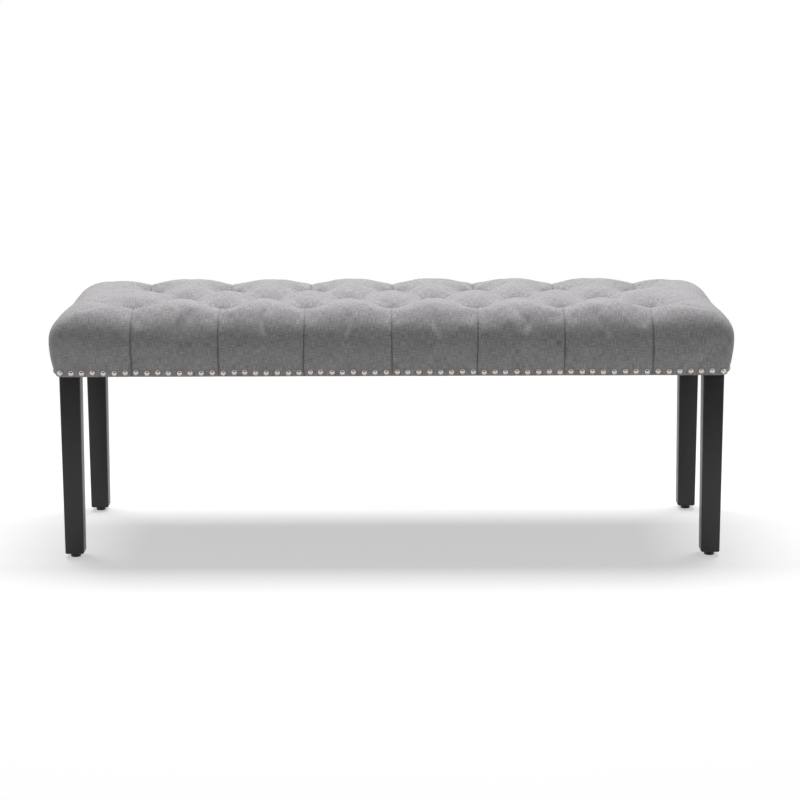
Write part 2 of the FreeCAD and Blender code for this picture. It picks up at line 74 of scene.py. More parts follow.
def applyModifiers(obj):
    makeActive(obj)
    for modifier in list(obj.modifiers):
        bpy.ops.object.modifier_apply(modifier=modifier.name)


def selectFaces(obj, test):  # in edit mode: keeps only the faces that pass the test selected
    bpy.ops.mesh.select_all(action="DESELECT")
    objectMode()
    for face in obj.data.polygons:
        face.select = bool(test(face))
    bpy.ops.object.mode_set(mode="EDIT")


def smoothByAngle(obj, degrees=35):
    makeActive(obj)
    bpy.ops.object.shade_smooth_by_angle(angle=math.radians(degrees))


def addBevel(obj, width, segments, degrees=30):
    bevel = obj.modifiers.new("edges", "BEVEL")
    bevel.width = width
    bevel.segments = segments
    bevel.angle_limit = math.radians(degrees)


def cutAndFlatten(height, flatness):  # in edit mode: drops what lies below height, then squashes
    bpy.ops.mesh.select_all(action="SELECT")
    bpy.ops.mesh.bisect(plane_co=(0, 0, height), plane_no=(0, 0, 1), use_fill=True, clear_inner=True)
    bpy.ops.mesh.select_all(action="SELECT")
    bpy.ops.transform.resize(value=(1, 1, flatness), center_override=(0, 0, 0))


def joinAll(pieces, name):
    deselectAll()
    for piece in pieces:
        piece.select_set(True)
    bpy.context.view_layer.objects.active = pieces[0]
    bpy.ops.object.join()
    joined = bpy.context.view_layer.objects.active
    joined.name = name
    joined.data.name = name
    return joined


def copyOf(obj, matrix=None):
    twin = obj.copy()
    twin.data = obj.data.copy()
    scene.collection.objects.link(twin)
    if matrix is not None:
        twin.data.transform(matrix)
    return twin


def setMaterial(obj, material):
    obj.data.materials.clear()
    obj.data.materials.append(material)
    for face in obj.data.polygons:
        face.material_index = 0


def finishPiece(obj, body, slotName, material, *replaced):
    setMaterial(obj, material)
    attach(obj, body)
    if replaced:
        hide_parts(*replaced)


def srgb(r, g, b):  # 0 to 255 as seen, to linear
    def lin(c):
        c /= 255
        return c / 12.92 if c <= 0.04045 else ((c + 0.055) / 1.055) ** 2.4
    return (lin(r), lin(g), lin(b), 1.0)


def newMaterial(name, roughness=0.5, metallic=0.0, colour=(0.5, 0.5, 0.5, 1)):
    material = bpy.data.materials.new(name)
    material.use_nodes = True
    tree = material.node_tree
    shader = tree.nodes["Principled BSDF"]
    shader.inputs["Base Color"].default_value = colour
    shader.inputs["Roughness"].default_value = roughness
    shader.inputs["Metallic"].default_value = metallic
    return material, tree, shader


def addNode(tree, kind, **values):
    node = tree.nodes.new(kind)
    for key, value in values.items():
        if key in node.inputs:
            node.inputs[key].default_value = value
        else:
            setattr(node, key, value)
    return node


def mathNode(tree, operation, a, b=None, clamp=False):
    node = tree.nodes.new("ShaderNodeMath")
    node.operation = operation
    node.use_clamp = clamp
    for i, value in enumerate((a, b)):
        if value is None:
            continue
        if hasattr(value, "links"):
            tree.links.new(value, node.inputs[i])
        else:
            node.inputs[i].default_value = value
    return node.outputs[0]


def mixColour(tree, factor, a, b, blend="MIX"):
    node = tree.nodes.new("ShaderNodeMix")
    node.data_type = "RGBA"
    node.blend_type = blend
    for socket, value in ((node.inputs[0], factor), (node.inputs[6], a), (node.inputs[7], b)):
        if hasattr(value, "links"):
            tree.links.new(value, socket)
        else:
            socket.default_value = value
    return node.outputs[2]


def coordinates(tree, scale, source="Object", uvName=None):
    if uvName:
        node = addNode(tree, "ShaderNodeUVMap", uv_map=uvName)
        out = node.outputs[0]
    else:
        node = tree.nodes.new("ShaderNodeTexCoord")
        out = node.outputs[source]
    mapping = tree.nodes.new("ShaderNodeMapping")
    mapping.inputs["Scale"].default_value = scale
    tree.links.new(out, mapping.inputs["Vector"])
    return mapping.outputs[0]


def noiseAt(tree, vector, scale, detail=2.0, roughness=0.5):
    node = addNode(tree, "ShaderNodeTexNoise", Scale=scale, Detail=detail, Roughness=roughness)
    tree.links.new(vector, node.inputs["Vector"])
    return node.outputs[0]


def bumpTo(tree, shader, height, strength, distance):
    node = addNode(tree, "ShaderNodeBump", Strength=strength, Distance=distance)
    tree.links.new(height, node.inputs["Height"])
    tree.links.new(node.outputs[0], shader.inputs["Normal"])


linen = {
    "dark": srgb(97, 96, 98), "middle": srgb(137, 135, 137), "light": srgb(178, 176, 177),
    # paintedFoldShade: the colour of the shade painted into the cover's folds and tuft bowls
    "paintedFoldShade": srgb(58, 58, 60), "bumpHeight": 0.00035,
    "threadsPerMetre": 900, "waveTurn": 6.2832,
    "slubAcross": 1300, "slubAlong": 70, "slubShare": 0.93, "patchScale": 26.0, "patchShare": 0.07,
    "rampFrom": 0.34, "rampTo": 0.66,
}


# Linen-look cloth: two crossing sets of uneven threads, heathered light and dark, with shade painted
# into its folds when a shade attribute is given
def makeLinen(name, uvName="weave", paintedShadeAttribute=None):
    material, tree, shader = newMaterial(name, roughness=0.88)
    shader.inputs["Sheen Weight"].default_value = 0.12
    shader.inputs["Sheen Roughness"].default_value = 0.5
    flat = coordinates(tree, (1, 1, 1), uvName=uvName)
    across, along = linen["slubAcross"], linen["slubAlong"]
    warpSlub = noiseAt(tree, coordinates(tree, (across, along, 1), uvName=uvName), 1.0, 2.0, 0.6)
    weftSlub = noiseAt(tree, coordinates(tree, (along, across, 1), uvName=uvName), 1.0, 2.0, 0.6)
    patchy = noiseAt(tree, flat, linen["patchScale"], 3.0, 0.55)
    slubs = mathNode(tree, "MULTIPLY", mathNode(tree, "ADD", warpSlub, weftSlub), 0.5)
    mixed = mathNode(tree, "ADD", mathNode(tree, "MULTIPLY", slubs, linen["slubShare"]),
                     mathNode(tree, "MULTIPLY", patchy, linen["patchShare"]))
    ramp = tree.nodes.new("ShaderNodeValToRGB")
    ramp.color_ramp.elements[0].position = linen["rampFrom"]
    ramp.color_ramp.elements[0].color = linen["dark"]
    ramp.color_ramp.elements[1].position = linen["rampTo"]
    ramp.color_ramp.elements[1].color = linen["light"]
    between = ramp.color_ramp.elements.new(0.5)
    between.color = linen["middle"]
    tree.links.new(mixed, ramp.inputs[0])
    colour = ramp.outputs[0]
    # painted shade: where the attribute marks a fold or a tuft bowl, the colour is mixed towards the
    # dark paintedFoldShade colour
    if paintedShadeAttribute:
        fold = addNode(tree, "ShaderNodeAttribute", attribute_name=paintedShadeAttribute)
        colour = mixColour(tree, fold.outputs["Fac"], colour, linen["paintedFoldShade"])
    tree.links.new(colour, shader.inputs["Base Color"])
    # the weave itself, over and under
    waveScale = linen["threadsPerMetre"] / linen["waveTurn"]
    warp = addNode(tree, "ShaderNodeTexWave", Scale=waveScale, Distortion=1.2)
    warp.bands_direction = "X"
    weft = addNode(tree, "ShaderNodeTexWave", Scale=waveScale, Distortion=1.2)
    weft.bands_direction = "Y"
    tree.links.new(flat, warp.inputs["Vector"])
    tree.links.new(flat, weft.inputs["Vector"])
    weave = mathNode(tree, "MULTIPLY", warp.outputs[1], weft.outputs[1])
    height = mathNode(tree, "ADD", mathNode(tree, "MULTIPLY", weave, 0.5), slubs)
    bumpTo(tree, shader, height, 0.55, linen["bumpHeight"])
    return material


def makePaintedWood(name, colour):  # black satin paint over fine grain
    material, tree, shader = newMaterial(name, roughness=0.42, colour=colour)
    along = coordinates(tree, (1, 1, 0.06))
    grain = noiseAt(tree, along, 420.0, 3.0, 0.6)
    mottled = noiseAt(tree, coordinates(tree, (1, 1, 1)), 60.0, 3.0, 0.5)
    lighter = tuple(min(1.0, c * 1.9) for c in colour[:3]) + (1.0,)
    tint = mixColour(tree, mathNode(tree, "MULTIPLY", grain, mottled), colour, lighter)
    tree.links.new(tint, shader.inputs["Base Color"])
    rough = mathNode(tree, "ADD", mathNode(tree, "MULTIPLY", mottled, 0.16), 0.34)
    tree.links.new(rough, shader.inputs["Roughness"])
    bumpTo(tree, shader, grain, 0.18, 0.0002)
    return material


def makeTimber(name, pale, deep, scale=(1, 1, 1)):
    material, tree, shader = newMaterial(name, roughness=0.62)
    place = coordinates(tree, scale)
    rings = addNode(tree, "ShaderNodeTexWave", Scale=9.0, Distortion=6.0, Detail=2.0)
    tree.links.new(place, rings.inputs["Vector"])
    fibres = noiseAt(tree, place, 160.0, 4.0, 0.6)
    factor = mathNode(tree, "MULTIPLY", mathNode(tree, "ADD", rings.outputs[1], fibres), 0.5)
    tree.links.new(mixColour(tree, factor, pale, deep), shader.inputs["Base Color"])
    bumpTo(tree, shader, fibres, 0.25, 0.0004)
    return material


def makeMetal(name, colour, roughness, wear=0.08, scale=900.0):
    material, tree, shader = newMaterial(name, roughness=roughness, metallic=1.0, colour=colour)
    specks = noiseAt(tree, coordinates(tree, (1, 1, 1)), scale, 3.0, 0.6)
    darker = tuple(c * 0.72 for c in colour[:3]) + (1.0,)
    tree.links.new(mixColour(tree, specks, colour, darker), shader.inputs["Base Color"])
    rough = mathNode(tree, "ADD", mathNode(tree, "MULTIPLY", specks, wear), roughness - wear / 2)
    tree.links.new(rough, shader.inputs["Roughness"])
    bumpTo(tree, shader, specks, 0.08, 0.0002)
    return material


def makeSpeckled(name, colour, other, roughness, scale, bump):
    material, tree, shader = newMaterial(name, roughness=roughness)
    specks = noiseAt(tree, coordinates(tree, (1, 1, 1)), scale, 4.0, 0.65)
    tree.links.new(mixColour(tree, specks, colour, other), shader.inputs["Base Color"])
    bumpTo(tree, shader, specks, 0.4, bump)
    return material


# the cover's cloth gets shade painted in from its fold attribute
linenCover = makeLinen("linenCover", paintedShadeAttribute="fold")
linenButton = makeLinen("linenButton")
satinBlack = makePaintedWood("satinBlackPaint", srgb(30, 29, 29))
frameTimber = makeTimber("frameTimber", srgb(206, 176, 132), srgb(170, 132, 88), (0.4, 3, 3))
braceTimber = makeTimber("braceTimber", srgb(206, 176, 132), srgb(170, 132, 88), (3, 0.4, 3))
deckPly = makeTimber("deckPly", srgb(214, 188, 148), srgb(184, 150, 108), (0.5, 2, 12))
nickel = makeMetal("brightNickel", srgb(214, 206, 198), 0.17, 0.1)
zinc = makeMetal("zincSteel", srgb(176, 178, 180), 0.36)
brass = makeMetal("insertBrass", srgb(198, 164, 92), 0.32)
nylon = makeSpeckled("blackNylon", srgb(30, 30, 31), srgb(46, 46, 47), 0.48, 700.0, 0.0001)
lining = makeSpeckled("blackLining", srgb(24, 24, 25), srgb(48, 48, 50), 0.92, 1400.0, 0.0003)
twine = makeSpeckled("waxedTwine", srgb(196, 182, 150), srgb(150, 136, 108), 0.8, 1600.0, 0.0003)
print("materials made")


coverLow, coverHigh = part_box("upholstery_cover")
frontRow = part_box("tuft_buttons_front_row")
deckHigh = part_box("seat_deck")[1]

buttons = {
    "front": 7, "middle": 6,  # the back row repeats the front
    "radius": 0.0095, "flatness": 0.5, "rimDrop": 0.0016, "segments": 28, "rings": 14,
    "cadHalfWidth": 0.00878,
    "seatZ": frontRow[0].z,
    "rowY": abs(frontRow[0].y + frontRow[1].y) / 2,
}
lastColumn = (frontRow[1].x - frontRow[0].x) / 2 - buttons["cadHalfWidth"]
lastColumn = round(lastColumn * 2000) / 2000  # to half a millimetre
pitch = 2 * lastColumn / (buttons["front"] - 1)
rowY = round(buttons["rowY"], 4)

cushion = {
    "halfLength": 0.600, "halfDepth": 0.200, "crestZ": coverHigh.z - 0.0066, "bottomZ": coverLow.z,
    "rimFromEnd": 0.085, "rimFromFront": 0.062,
    "widestEnd": 0.400, "widestFront": 0.392,
    "drawInEnd": 0.011, "drawInFront": 0.010,
    "cornerRadius": 0.028, "lowCornerRadius": 0.011, "middleDrop": 0.003,
    "cells": 8,  # mesh columns in half a tuft pitch
    "crowding": 0.62,  # how much closer the columns stand beside a pleat
    "flange": 0.020, "clothThickness": 0.0015, "frameGap": 0.0004,
    "tuftDepth": 0.0265, "pleatDepth": 0.0118, "rimDepth": 0.0092, "sideDepth": 0.0017,
    "pillowReach": 0.068, "pillowPower": 2.2, "blendPower": 6.0,
    # paintedFoldShade and paintedBowlShade set how dark the painted shade is along the folds and in
    # the bowls round the tufts
    "foldDepth": 0.0020, "foldWidth": 0.0010, "paintedFoldShade": 0.62,
    "bowlDepth": 0.0055, "bowlReach": 0.017, "paintedBowlShade": 0.5,
    "floorRadius": 0.0095, "floorBelowButton": 0.0002, "tuftReach": 0.03,
    "tuftClear": 0.010, "lowEdgeFade": 0.012, "lowStep": 0.0012, "uvStep": 0.02,
    "unevenness": 0.0008, "unevenLift": 0.35,
    "seamDrift": 0.0022, "driftTop": 0.445, "driftFade": 0.10, "driftEnd": 0.58,
    "smallerFade": 0.03, "startSmaller": 0.0014, "edgeRing": 0.972,
}
pleats = {  # marks run from the tuft outwards; the rim's go on over it and down to the low edge
    "sideEnd": 0.45, "endEnd": 0.9, "bowlShare": 0.4, "bowlPower": 1.7,
    "diagonalCrease": (0.3, 0.9, 0.052),
    "rimMarks": (0, 0.018, 0.043, 0.090, 0.140, 0.205),
    "rimCreaseMarks": (0, 0.043, 0.15, 0.205), "rimCreases": (0.9, 0.5, 0.95, 0.8),
    "endMarks": (0, 0.025, 0.062, 0.130, 0.20),
    "endCreaseMarks": (0, 0.05, 0.10, 0.2), "endCreases": (1.0, 0.35, 0.12, 0.05),
}
pleats["rimDepths"] = (cushion["tuftDepth"], cushion["tuftDepth"] * 0.68, cushion["rimDepth"], 0.0052,
                       cushion["sideDepth"], 0.0006)
pleats["endDepths"] = (cushion["tuftDepth"], cushion["tuftDepth"] * 0.5, cushion["pleatDepth"] * 0.3,
                       0.0010, 0.0003)
filling = {  # the Cloth run, and how firmly each part of the cover is held in it
    "frames": 20, "mostMove": 0.0038,
    "cloth": {
        "quality": 2, "mass": 0.3, "tension_stiffness": 8, "compression_stiffness": 8,
        "shear_stiffness": 4, "bending_stiffness": 0.4,
        "use_pressure": True, "uniform_pressure_force": 4.0, "shrink_min": -0.02,
    },
    "fixed": 1.0, "firm": 0.6, "loose": 0.3, "firmFold": 0.6, "looseFold": 0.25, "tuftHold": 0.013,
}
wrinkle = {
    "depth": 0.0010, "perTuft": 13, "seed": 7, "width": 0.0017, "from": 0.009, "fadeIn": 0.006,
    "farthest": 0.07, "reach": (0.022, 0.05), "curl": 6, "straightAt": 0.012, "spread": 0.35,
}

columnsX = [-lastColumn + pitch * i for i in range(buttons["front"])]
columnsMiddle = [-lastColumn + pitch * (i + 0.5) for i in range(buttons["middle"])]
tufts = [(x, -rowY) for x in columnsX] + [(x, 0.0) for x in columnsMiddle]
tufts += [(x, rowY) for x in columnsX]


# Pleats in the seat's unfolded plan, as start, end and kind
def pleatLines():
    lines = []
    far = pleats["sideEnd"]
    for x in columnsX:
        for side in (-1, 1):
            lines.append(((x, side * rowY), (x, side * far), "rim"))
            for mx in columnsMiddle:
                if abs(mx - x) < pitch * 0.6:
                    lines.append(((x, side * rowY), (mx, 0.0), "diagonal"))
    for sx in (-1, 1):
        for side in (-1, 1):
            end = (sx * pleats["endEnd"], side * rowY)
            lines.append(((sx * lastColumn, side * rowY), end, "end"))
    return lines


def segmentDistance(u, v, a, b):
    dx, dy = b[0] - a[0], b[1] - a[1]
    length = math.hypot(dx, dy)
    along = np.clip(((u - a[0]) * dx + (v - a[1]) * dy) / length, 0, length)
    away = np.hypot(u - a[0] - along * dx / length, v - a[1] - along * dy / length)
    return along, away, length


# How deep the cushion is drawn in at a place of the plan, and how tightly it is folded there
def cushionDepth(u, v):
    total = np.zeros_like(u)
    fold = np.zeros_like(u)
    power = cushion["blendPower"]
    deep, shallow = cushion["tuftDepth"], cushion["pleatDepth"]
    bowl = pitch * pleats["bowlShare"]
    base, extra, fadeOut = pleats["diagonalCrease"]
    for a, b, kind in pleatLines():
        along, away, length = segmentDistance(u, v, a, b)
        reach = cushion["pillowReach"]
        if kind == "diagonal":
            near = np.minimum(along, length - along)
            depth = shallow + (deep - shallow) * np.clip(1 - near / bowl, 0, 1) ** pleats["bowlPower"]
            crease = base + extra * np.clip(1 - near / fadeOut, 0, 1)
        else:
            depth = np.interp(along, pleats[kind + "Marks"], pleats[kind + "Depths"])
            crease = np.interp(along, pleats[kind + "CreaseMarks"], pleats[kind + "Creases"])
        shape = np.clip(1 - away / reach, 0, 1) ** cushion["pillowPower"]
        total += (depth * shape) ** power
        line = crease * np.exp(-(away / cushion["foldWidth"]) ** 2)
        fold = np.maximum(fold, line)
    total = total ** (1 / power)
    return total, fold


# Fine creases that fan out from each tuft
def wrinkles(u, v):
    dice = random.Random(wrinkle["seed"])
    count, spread, curl = wrinkle["perTuft"], wrinkle["spread"], wrinkle["curl"]
    out = np.zeros_like(u)
    for tx, ty in tufts:
        r = np.hypot(u - tx, v - ty)
        near = r < wrinkle["farthest"]
        if not near.any():
            continue
        ru, rv, rr = u[near] - tx, v[near] - ty, r[near]
        angle = np.arctan2(rv, ru)
        sub = np.zeros_like(rr)
        for i in range(count):
            heading = 2 * math.pi * (i + dice.uniform(-spread, spread)) / count
            bend = dice.uniform(-curl, curl)
            reach = dice.uniform(*wrinkle["reach"])
            size = dice.uniform(spread, 1.0)
            off = angle - heading - bend * (rr - wrinkle["straightAt"])
            off = (off + math.pi) % (2 * math.pi) - math.pi
            away = np.abs(off) * rr
            fade = np.clip((rr - wrinkle["from"]) / wrinkle["fadeIn"], 0, 1)
            fade *= np.clip(1 - rr / reach, 0, 1)
            sub = np.maximum(sub, size * fade * np.exp(-(away / wrinkle["width"]) ** 2))
        out[near] = np.maximum(out[near], sub)
    return out


def crestHeight(y):  # the middle of the seat lies a little lower than its rim
    rimY = cushion["halfDepth"] - cushion["rimFromFront"]
    return cushion["crestZ"] - cushion["middleDrop"] * (1 - np.clip(np.abs(y) / rimY, 0, 1) ** 2)


# The rings that run round the seat from its rim down to the bottom edge
def ringProfiles(cells):
    shoulder = round(cells * 0.95)
    side = round(cells * 0.78)
    rings = []
    for i in range(1, shoulder + 1):
        angle = math.pi / 2 * i / shoulder
        rings.append(("shoulder", math.sin(angle), math.cos(angle)))
    for i in range(1, side):
        rings.append(("side", i / side, 0.0))
    return rings + [("side", cushion["edgeRing"], 0.0), ("side", 1.0, 0.0)]  # keeps the low edge crisp


def ringSizes(ring):
    kind, p, q = ring
    c = cushion
    if kind == "shoulder":
        halfX = c["halfLength"] - c["rimFromEnd"] * (1 - p)
        halfY = c["halfDepth"] - c["rimFromFront"] * (1 - p)
        zEnd = c["widestEnd"] + (c["crestZ"] - c["widestEnd"]) * q
        zFront = c["widestFront"] + (c["crestZ"] - c["widestFront"]) * q
        radius = c["cornerRadius"] * p ** 0.6
    else:
        halfX = c["halfLength"] - c["drawInEnd"] * p ** 2
        halfY = c["halfDepth"] - c["drawInFront"] * p ** 2
        zEnd = c["widestEnd"] + (c["bottomZ"] - c["widestEnd"]) * p
        zFront = c["widestFront"] + (c["bottomZ"] - c["widestFront"]) * p
        radius = c["cornerRadius"] + (c["lowCornerRadius"] - c["cornerRadius"]) * p
    return halfX, halfY, radius, zEnd, zFront


# Where a ring passes, for one of its four sides: places along it, out from the middle, and how
# far into the corner they lie (0 before the last pleat, 1 at the corner itself)
def alongRing(rimPlaces, rimHalf, pleatHalf, half, across, radius):
    past = np.clip((np.abs(rimPlaces) - pleatHalf) / (rimHalf - pleatHalf), 0, 1)
    straight = half - radius - pleatHalf
    run = past * (straight + radius * math.pi / 4)
    turned = np.clip((run - straight) / radius, 0, None) if radius > 1e-9 else np.zeros_like(run)
    along = np.where(run <= straight, np.minimum(np.abs(rimPlaces), pleatHalf) + run,
                     half - radius + radius * np.sin(turned))
    out = np.where(run <= straight, across, across - radius + radius * np.cos(turned))
    sign = np.where(rimPlaces < 0, -1.0, 1.0)
    return sign * along, out, past, sign * (np.minimum(np.abs(rimPlaces), pleatHalf) + run)


# Places from 0 to end in equal spans, with the steps closest at the ends of each span
def crowded(end, spans, cells):
    t = np.linspace(0, 1, cells + 1)
    t = t - cushion["crowding"] * np.sin(2 * math.pi * t) / (2 * math.pi)
    span = end / spans
    return np.concatenate([[0.0]] + [span * (k + t[1:]) for k in range(spans)])


class SeatMesh:  # vertices, unfolded places and faces of the whole cushion form
    def __init__(self, cells):
        c = cushion
        rimX = c["halfLength"] - c["rimFromEnd"]
        rimY = c["halfDepth"] - c["rimFromFront"]
        inner = crowded(lastColumn, (buttons["front"] - 1), cells)
        tail = np.linspace(lastColumn, rimX, round(cells * 1.3) + 1)[1:]
        xs = np.concatenate([inner, tail])
        self.xs = np.concatenate([-xs[:0:-1], xs])
        inner = crowded(rowY, 1, cells)
        tail = np.linspace(rowY, rimY, round(cells * 0.67) + 1)[1:]
        ys = np.concatenate([inner, tail])
        self.ys = np.concatenate([-ys[:0:-1], ys])
        self.rings = ringProfiles(cells)
        self.rimX, self.rimY = rimX, rimY
        self.build()

    def build(self):
        c = cushion
        nx, ny = len(self.xs), len(self.ys)
        gx, gy = np.meshgrid(self.xs, self.ys)
        gz = crestHeight(gy)
        top = np.stack([gx, gy, gz], -1).reshape(-1, 3)
        points = [top]
        topPlan = np.stack([gx, gy], -1).reshape(-1, 2)
        index = np.arange(nx * ny).reshape(ny, nx)
        # the four sides of the rim in order: front, right, back, left
        self.sides = [
            (self.xs, index[0, :], (1, 0), (0, -1)),
            (self.ys, index[:, -1], (0, 1), (1, 0)),
            (self.xs[::-1], index[-1, ::-1], (1, 0), (0, 1)),
            (self.ys[::-1], index[::-1, 0], (0, 1), (-1, 0)),
        ]
        loop = []
        for places, ids, way, out in self.sides:
            loop += list(ids[:-1])
        count = len(loop)
        starts = np.cumsum([0] + [len(s[0]) - 1 for s in self.sides])
        ringIds = [np.array(loop)]
        sidePlans = [[] for _ in self.sides]
        for s, (places, ids, way, out) in enumerate(self.sides):
            planX = places * way[0] + self.rimX * out[0]
            planY = places * way[1] + self.rimY * out[1]
            sidePlans[s].append(np.stack([planX, planY], -1))
        base = len(top)
        before = None
        runs = [0.0, 0.0]
        lastSizes = (self.rimX, self.rimY, c["crestZ"], c["crestZ"])
        for ring in self.rings:
            halfX, halfY, radius, zEnd, zFront = ringSizes(ring)
            runs[0] += math.hypot(halfY - lastSizes[1], zFront - lastSizes[3])
            runs[1] += math.hypot(halfX - lastSizes[0], zEnd - lastSizes[2])
            lastSizes = (halfX, halfY, zEnd, zFront)
            zCorner = (zEnd + zFront) / 2
            rows = []
            for s, (places, ids, way, out) in enumerate(self.sides):
                isFront = s % 2 == 0
                rimHalf = self.rimX if isFront else self.rimY
                pleatHalf = lastColumn if isFront else rowY
                half, across = (halfX, halfY) if isFront else (halfY, halfX)
                along, outward, past, unrolled = alongRing(
                    places, rimHalf, pleatHalf, half, across, radius)
                ease = past * past * (3 - 2 * past)
                z = (zFront if isFront else zEnd) * (1 - ease) + zCorner * ease
                x = along * way[0] + outward * out[0]
                y = along * way[1] + outward * out[1]
                rows.append(np.stack([x, y, z], -1)[:-1])
                down = (self.rimY + runs[0]) if isFront else (self.rimX + runs[1])
                u = unrolled * way[0] + down * out[0]
                v = unrolled * way[1] + down * out[1]
                sidePlans[s].append(np.stack([u, v], -1))
            points.append(np.concatenate(rows))
            ringIds.append(np.arange(base, base + count))
            base += count
        self.count = count
        self.starts = starts
        self.ringIds = ringIds
        self.sidePlans = sidePlans
        self.points = np.concatenate(points)
        self.topIndex = index
        # unfolded place of each vertex, corners taken from the front or back side
        planAll = np.zeros((len(self.points), 2))
        planAll[: nx * ny] = topPlan
        for s in (1, 3, 0, 2):
            n = len(self.sides[s][0])
            for k in range(1, len(ringIds)):
                ids = ringIds[k][(starts[s] + np.arange(n)) % count]
                planAll[ids] = sidePlans[s][k]
        self.plan = planAll

    # Quads with their unfolded corners; a quad starts at the corner its pleat runs from
    def faces(self):
        quads, uvs = [], []
        ny, nx = self.topIndex.shape
        for j in range(ny - 1):
            for i in range(nx - 1):
                ids = [self.topIndex[j, i], self.topIndex[j, i + 1],
                       self.topIndex[j + 1, i + 1], self.topIndex[j + 1, i]]
                mx = (self.xs[i] + self.xs[i + 1]) / 2
                my = (self.ys[j] + self.ys[j + 1]) / 2
                steps = (mx + lastColumn) / pitch
                rising = (steps - math.floor(steps)) < 0.5
                if rising != (my < 0):
                    ids = ids[1:] + ids[:1]
                quads.append(ids)
                uvs.append([self.plan[k] for k in ids])
        for s, (places, _, _, _) in enumerate(self.sides):
            n = len(places)
            for k in range(len(self.ringIds) - 1):
                high = self.ringIds[k][(self.starts[s] + np.arange(n)) % self.count]
                low = self.ringIds[k + 1][(self.starts[s] + np.arange(n)) % self.count]
                ph, pl = self.sidePlans[s][k], self.sidePlans[s][k + 1]
                for i in range(n - 1):
                    quads.append([low[i], low[i + 1], high[i + 1], high[i]])
                    uvs.append([pl[i], pl[i + 1], ph[i + 1], ph[i]])
        return quads, uvs


def vertexNormals(points, quads):
    q = np.array(quads)
    normals = np.cross(points[q[:, 2]] - points[q[:, 0]], points[q[:, 3]] - points[q[:, 1]])
    out = np.zeros_like(points)
    for k in range(4):
        np.add.at(out, q[:, k], normals)
    return out / np.linalg.norm(out, axis=1)[:, None]


def seatSurface(cells):
    seat = SeatMesh(cells)
    quads, uvs = seat.faces()
    normals = vertexNormals(seat.points, quads)
    depth, fold = cushionDepth(seat.plan[:, 0], seat.plan[:, 1])
    toTuft = tuftDistance(seat.plan)
    above = (seat.points[:, 2] - cushion["bottomZ"]) / cushion["smallerFade"]
    smaller = cushion["startSmaller"] * np.clip(above, 0, 1)
    points = seat.points - normals * (depth + smaller)[:, None]
    return seat, holdTufts(points, toTuft), quads, uvs, fold, toTuft


def tuftDistance(plan):
    nearest = np.full(len(plan), 1.0)
    for tx, ty in tufts:
        nearest = np.minimum(nearest, np.hypot(plan[:, 0] - tx, plan[:, 1] - ty))
    return nearest


def holdTufts(points, toTuft):  # the cloth lies flat under each button and nowhere below it
    floorZ = buttons["seatZ"] - cushion["floorBelowButton"]
    points[toTuft < cushion["floorRadius"], 2] = floorZ
    lifted = np.maximum(points[:, 2], floorZ)
    points[:, 2] = np.where(toTuft < cushion["tuftReach"], lifted, points[:, 2])
    return points


def meshFrom(name, points, faces, uvs=None, uvName="weave"):
    mesh = bpy.data.meshes.new(name)
    mesh.from_pydata([tuple(p) for p in points], [], faces)
    if uvs is not None:
        layer = mesh.uv_layers.new(name=uvName)
        layer.data.foreach_set("uv", np.array([c for face in uvs for c in face], np.float32).ravel())
    obj = bpy.data.objects.new(name, mesh)
    scene.collection.objects.link(obj)
    mesh.validate()
    return obj


# The turned-under flange and the hollow that fits over the frame close the form below
def closeUnderside(seat, points, quads, uvs):
    c = cushion
    lastIds = seat.ringIds[-1]
    rimPoints = points[lastIds]
    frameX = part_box("seat_deck")[1].x + c["frameGap"]
    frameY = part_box("seat_deck")[1].y + c["frameGap"]
    halfX = c["halfLength"] - c["drawInEnd"]
    halfY = c["halfDepth"] - c["drawInFront"]
    steps = [
        (halfX - c["lowStep"], halfY - c["lowStep"], c["bottomZ"]),
        (halfX - c["flange"], halfY - c["flange"], c["bottomZ"]),
        (halfX - c["flange"], halfY - c["flange"], c["bottomZ"] + c["clothThickness"]),
        (frameX, frameY, c["bottomZ"] + c["clothThickness"]),
        (frameX, frameY, deckHigh.z + c["frameGap"]),
    ]
    extra = [points]
    base = len(points)
    ids = lastIds
    planEdge = seat.plan[lastIds]
    drop = 0.0
    for hx, hy, z in steps:
        rows = rimPoints.copy()
        rows[:, 0] *= hx / halfX
        rows[:, 1] *= hy / halfY
        rows[:, 2] = z
        extra.append(rows)
        new = np.arange(base, base + len(ids))
        base += len(ids)
        drop += c["uvStep"]
        for i in range(len(ids)):
            j = (i + 1) % len(ids)
            quads.append([new[i], new[j], ids[j], ids[i]])
            corner = [planEdge[i], planEdge[j], planEdge[j], planEdge[i]]
            uvs.append([corner[0] * (1 + drop), corner[1] * (1 + drop), corner[2], corner[3]])
        ids = new
    # the hollow's ceiling repeats the grid of the top
    grid = seat.topIndex
    onGrid = np.zeros(grid.size, int)
    isInner = np.ones(grid.size, bool)
    isInner[seat.ringIds[0]] = False
    onGrid[seat.ringIds[0]] = ids
    onGrid[isInner] = base + np.arange(isInner.sum())
    inner = seat.points[: grid.size][isInner]
    inner = inner * (frameX / seat.rimX, frameY / seat.rimY, 0) + (0, 0, steps[-1][2])
    extra.append(inner)
    for j in range(grid.shape[0] - 1):
        for i in range(grid.shape[1] - 1):
            corners = (grid[j, i], grid[j + 1, i], grid[j + 1, i + 1], grid[j, i + 1])
            quads.append([onGrid[k] for k in corners])
            uvs.append([seat.plan[k] for k in corners])
    return np.concatenate(extra)


def vectorsOf(items, field):
    out = np.empty(len(items) * 3, np.float32)
    items.foreach_get(field, out)
    return out.reshape(-1, 3).astype(float)


def placesOf(obj):
    return vectorsOf(obj.data.vertices, "co")


def setPlaces(obj, points):
    obj.data.vertices.foreach_set("co", points.astype(np.float32).ravel())
    obj.data.update()


